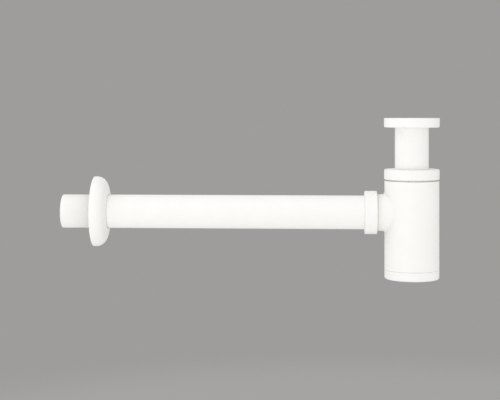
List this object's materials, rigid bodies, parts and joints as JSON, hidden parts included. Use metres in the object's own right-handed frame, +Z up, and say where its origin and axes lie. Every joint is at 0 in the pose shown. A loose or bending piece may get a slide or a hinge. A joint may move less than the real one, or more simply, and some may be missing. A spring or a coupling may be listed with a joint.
{
  "type": "basin trap",
  "caption": "White bottle trap for a basin: threaded inlet nut, height-adjustable tube, bottle with a screw-off cleaning cup, straight outlet tube and domed wall flange.",
  "frame": {"origin": "centre of the inlet nut's mouth, where the basin waste's tail screws in", "axes": "+Z up along the bottle's axis and out of the inlet, -X along the outlet tube towards the wall"},
  "size_m": [0.3612, 0.067, 0.1526],
  "materials": {
    "white_coat": "matte white powder coat on brass",
    "seal_rubber": "moulded black rubber",
    "slip_plastic": "natural polyethylene",
    "dip_plastic": "moulded grey polypropylene"
  },
  "bodies": {
    "inlet_nut": {"inlet_nut": "white_coat"},
    "inlet_tube": {"inlet_tube": "white_coat", "inlet_washer": "seal_rubber"},
    "bottle": {"bottle_body": "white_coat", "outlet_branch": "white_coat", "dip_tube": "dip_plastic", "dip_tube_gasket": "seal_rubber", "top_seal": "seal_rubber", "outlet_seal": "seal_rubber"},
    "collar_ring": {"top_slip_ring": "slip_plastic"},
    "collar": {"top_collar": "white_coat"},
    "cup_ring": {"cup_oring": "seal_rubber"},
    "cup": {"bottom_cup": "white_coat"},
    "outlet_ring": {"outlet_slip_ring": "slip_plastic"},
    "outlet_nut": {"outlet_nut": "white_coat"},
    "outlet_tube": {"outlet_tube": "white_coat"},
    "wall_flange": {"wall_flange": "white_coat", "flange_grip_ring": "seal_rubber"}
  },
  "joints": [
    {"name": "trap_swivel", "type": "hinge", "parent": "inlet_nut", "child": "inlet_tube", "pos_m": [0, 0, 0], "axis": [0, 0, 1], "continuous": true},
    {"name": "height_slide", "type": "slide", "parent": "inlet_tube", "child": "bottle", "axis": [0, 0, 1], "range_m": [-0.02, 0.033]},
    {"name": "collar_lift", "type": "slide", "parent": "bottle", "child": "collar_ring", "axis": [0, 0, 1], "range_m": [0, 0.006]},
    {"name": "collar_turn", "type": "hinge", "parent": "collar_ring", "child": "collar", "pos_m": [0, 0, -0.0534], "axis": [0, 0, 1], "range_deg": [0, 1440]},
    {"name": "cup_drop", "type": "slide", "parent": "bottle", "child": "cup_ring", "axis": [0, 0, -1], "range_m": [0, 0.0075]},
    {"name": "cup_turn", "type": "hinge", "parent": "cup_ring", "child": "cup", "pos_m": [0, 0, -0.1439], "axis": [0, 0, -1], "range_deg": [0, 1800]},
    {"name": "outlet_nut_slide", "type": "slide", "parent": "bottle", "child": "outlet_ring", "axis": [-1, 0, 0], "range_m": [0, 0.00825]},
    {"name": "outlet_nut_turn", "type": "hinge", "parent": "outlet_ring", "child": "outlet_nut", "pos_m": [-0.039, 0, -0.0899], "axis": [-1, 0, 0], "range_deg": [0, 1980]},
    {"name": "outlet_tube_slide", "type": "slide", "parent": "bottle", "child": "outlet_tube", "axis": [1, 0, 0], "range_m": [0, 0.007]},
    {"name": "flange_slide", "type": "slide", "parent": "outlet_tube", "child": "wall_flange", "axis": [1, 0, 0], "range_m": [-0.025, 0.225]}
  ],
  "couplings": [
    {"joint": "collar_turn", "follows": "collar_lift", "rad_per_m": 4188.8},
    {"joint": "cup_turn", "follows": "cup_drop", "rad_per_m": 4188.8},
    {"joint": "outlet_nut_turn", "follows": "outlet_nut_slide", "rad_per_m": 4188.8}
  ]
}
